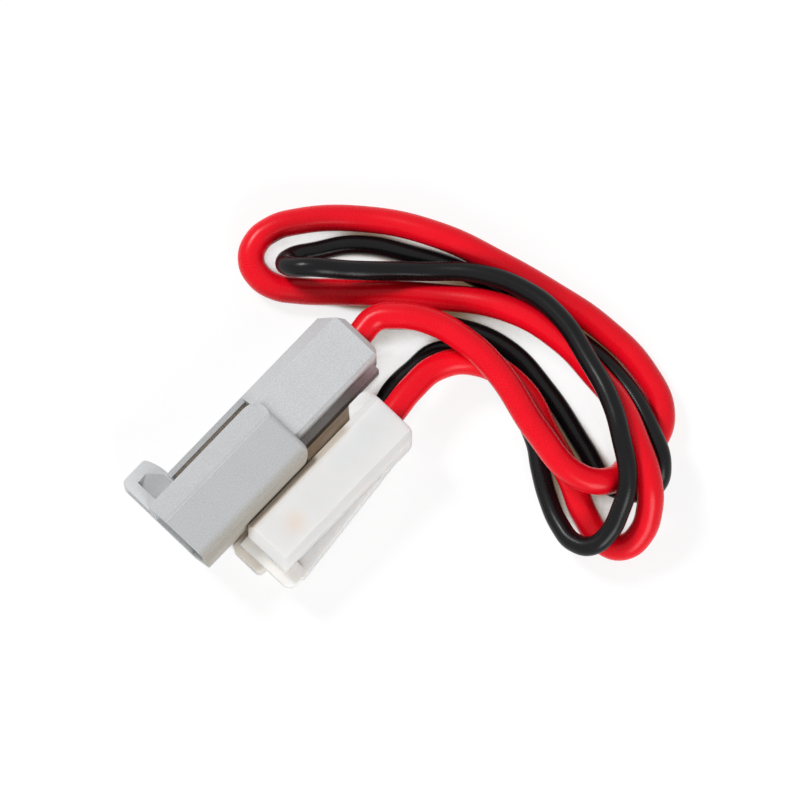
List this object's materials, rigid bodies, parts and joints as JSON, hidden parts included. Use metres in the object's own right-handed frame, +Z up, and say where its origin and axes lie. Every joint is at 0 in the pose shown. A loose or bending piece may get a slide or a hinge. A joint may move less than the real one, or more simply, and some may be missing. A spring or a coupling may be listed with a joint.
{
  "type": "two-way alternator connector lead",
  "caption": "Short connector lead for an alternator: a grey hooded tab housing and a natural nylon plug housing, joined by a heavy red wire and a lighter black wire folded into a loose bundle.",
  "frame": {"origin": "on the flat underside of the grey housing, midway along its length, in the plane that the housing lies on", "axes": "+X along the grey housing from its mouth to its wire end, +Y to its latch side, +Z up"},
  "size_m": [0.0716, 0.0789, 0.0132],
  "materials": {
    "grey_nylon": "matte",
    "natural_nylon": "satin, slightly translucent",
    "terminal_brass": "satin",
    "red_insulation": "glossy",
    "black_insulation": "satin",
    "copper_strands": "satin"
  },
  "bodies": {
    "root": {"grey_housing": "grey_nylon", "white_housing": "natural_nylon", "red_tab_terminal": "terminal_brass", "black_tab_terminal": "terminal_brass", "red_receptacle_terminal": "terminal_brass", "black_receptacle_terminal": "terminal_brass", "red_wire": "red_insulation", "black_wire": "black_insulation", "red_conductor": "copper_strands", "black_conductor": "copper_strands"}
  },
  "joints": []
}
